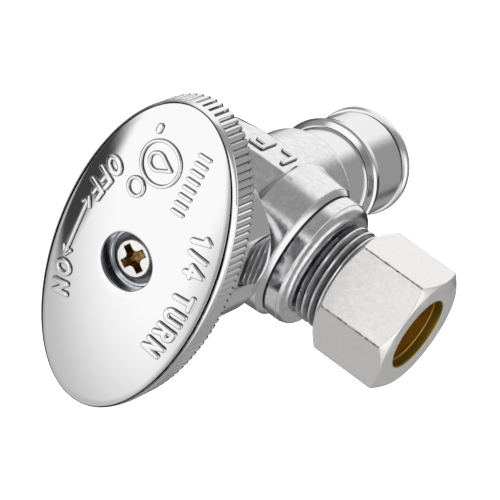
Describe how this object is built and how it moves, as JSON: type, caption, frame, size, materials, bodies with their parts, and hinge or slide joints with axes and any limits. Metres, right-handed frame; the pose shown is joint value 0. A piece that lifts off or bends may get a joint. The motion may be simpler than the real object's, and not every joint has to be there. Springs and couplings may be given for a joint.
{
  "type": "angle stop valve",
  "caption": "Quarter-turn angle stop valve with an oval knurled handle, ribbed inlet barrel and hex compression outlet.",
  "frame": {"origin": "centre of the inlet barrel's open end, where the pipe comes on", "axes": "+Y along the stem and inlet, out of the inlet towards the pipe; the handle faces -Y; +Z out of the compression outlet"},
  "size_m": [0.0446, 0.0585, 0.0405],
  "materials": {
    "body_chrome": "chrome plating over a fine forged surface, bright on the turned tower",
    "barrel_chrome": "turned and satin-polished chrome plating",
    "handle_chrome": "mirror-polished chrome plating",
    "nut_nickel": "satin nickel plating",
    "ferrule_brass": "bright turned brass",
    "plain_brass": "turned brass",
    "ball_chrome": "polished chrome plating",
    "screw_steel": "nickel-plated steel",
    "ptfe_seal": "white PTFE",
    "rubber_seal": "black EPDM rubber"
  },
  "bodies": {
    "valve": {"valve_body": "body_chrome", "inlet_barb": "barrel_chrome", "inlet_barb_oring": "rubber_seal", "inlet_seat": "ptfe_seal", "inlet_seat_oring": "rubber_seal", "outlet_seat": "ptfe_seal", "outlet_seat_oring": "rubber_seal", "front_seat": "ptfe_seal", "stem_thrust_washer": "ptfe_seal", "packing_ring_lower": "ptfe_seal", "packing_ring_upper": "ptfe_seal", "packing_follower": "plain_brass", "packing_nut": "plain_brass"},
    "turning_parts": {"handle": "handle_chrome", "handle_screw": "screw_steel", "screw_lock_washer": "screw_steel", "stem": "plain_brass", "ball": "ball_chrome"},
    "ferrule_ring": {"ferrule": "ferrule_brass"},
    "outlet_nut": {"compression_nut": "nut_nickel"}
  },
  "joints": [
    {"name": "handle_turn", "type": "hinge", "parent": "valve", "child": "turning_parts", "pos_m": [0, -0.0305, 0], "axis": [0, -1, 0], "range_deg": [0, 90]},
    {"name": "nut_travel", "type": "slide", "parent": "valve", "child": "ferrule_ring", "axis": [0, 0, 1], "range_m": [0, 0.0053]},
    {"name": "nut_turn", "type": "hinge", "parent": "ferrule_ring", "child": "outlet_nut", "pos_m": [0, -0.0305, 0], "axis": [0, 0, 1], "range_deg": [0, 1800]}
  ],
  "couplings": [
    {"joint": "nut_travel", "follows": "nut_turn", "m_per_rad": 0.00016844}
  ]
}
